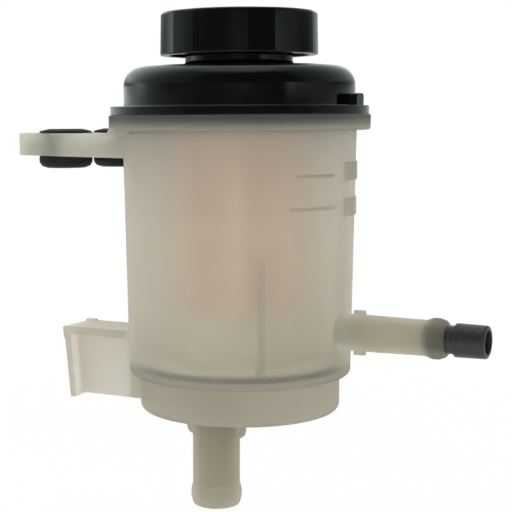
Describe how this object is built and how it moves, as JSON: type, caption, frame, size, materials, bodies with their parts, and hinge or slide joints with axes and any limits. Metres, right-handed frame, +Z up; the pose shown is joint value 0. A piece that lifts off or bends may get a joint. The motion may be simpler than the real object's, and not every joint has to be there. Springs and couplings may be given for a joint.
{
  "type": "power steering reservoir",
  "caption": "Round milky plastic fluid reservoir with a black domed lid, a screw cap, a suction nipple below, a side return tube, and an arm with rubber grommets and a foot for mounting.",
  "frame": {"origin": "on the tank's axis at the level of the open end of the suction nipple", "axes": "+Z up along the tank's axis, +X along the return tube, -X towards the arm and the foot"},
  "size_m": [0.1955, 0.0998, 0.1926],
  "materials": {
    "milky_plastic": "satin, slightly see-through",
    "gloss_black_plastic": "gloss",
    "black_plastic": "satin",
    "warm_plastic": "satin",
    "black_rubber": "matte",
    "filter_paper": "matte paper",
    "steel": "satin"
  },
  "bodies": {
    "tank": {"reservoir_body": "milky_plastic", "reservoir_lid": "gloss_black_plastic", "filter_seal": "black_rubber", "filter_base": "milky_plastic", "filter_cage": "warm_plastic", "filter_element": "filter_paper", "filter_end_disc": "warm_plastic", "filter_spring": "steel", "bypass_spring": "steel", "bypass_retainer": "warm_plastic", "arm_grommet_front": "black_rubber", "arm_grommet_rear": "black_rubber", "grommet_sleeve_front": "steel", "grommet_sleeve_rear": "steel", "return_nozzle": "black_plastic"},
    "seal": {"cap_seal": "black_rubber"},
    "cap": {"filler_cap": "gloss_black_plastic", "cap_vent_plate": "black_plastic", "cap_vent_valve": "black_rubber"},
    "bypass": {"bypass_valve": "warm_plastic"}
  },
  "joints": [
    {"name": "cap_lift", "type": "slide", "parent": "tank", "child": "seal", "axis": [0, 0, 1], "range_m": [0, 0.012]},
    {"name": "cap_turn", "type": "hinge", "parent": "seal", "child": "cap", "pos_m": [0, 0, 0.189], "axis": [0, 0, 1], "range_deg": [0, 1081]},
    {"name": "bypass_open", "type": "slide", "parent": "tank", "child": "bypass", "axis": [0, 0, -1], "range_m": [0, 0.003], "stiffness_N_per_m": 600, "springref_m": -0.002, "deforming": ["bypass_spring"]}
  ],
  "couplings": [
    {"joint": "cap_turn", "follows": "cap_lift", "rad_per_m": 1570.8}
  ]
}
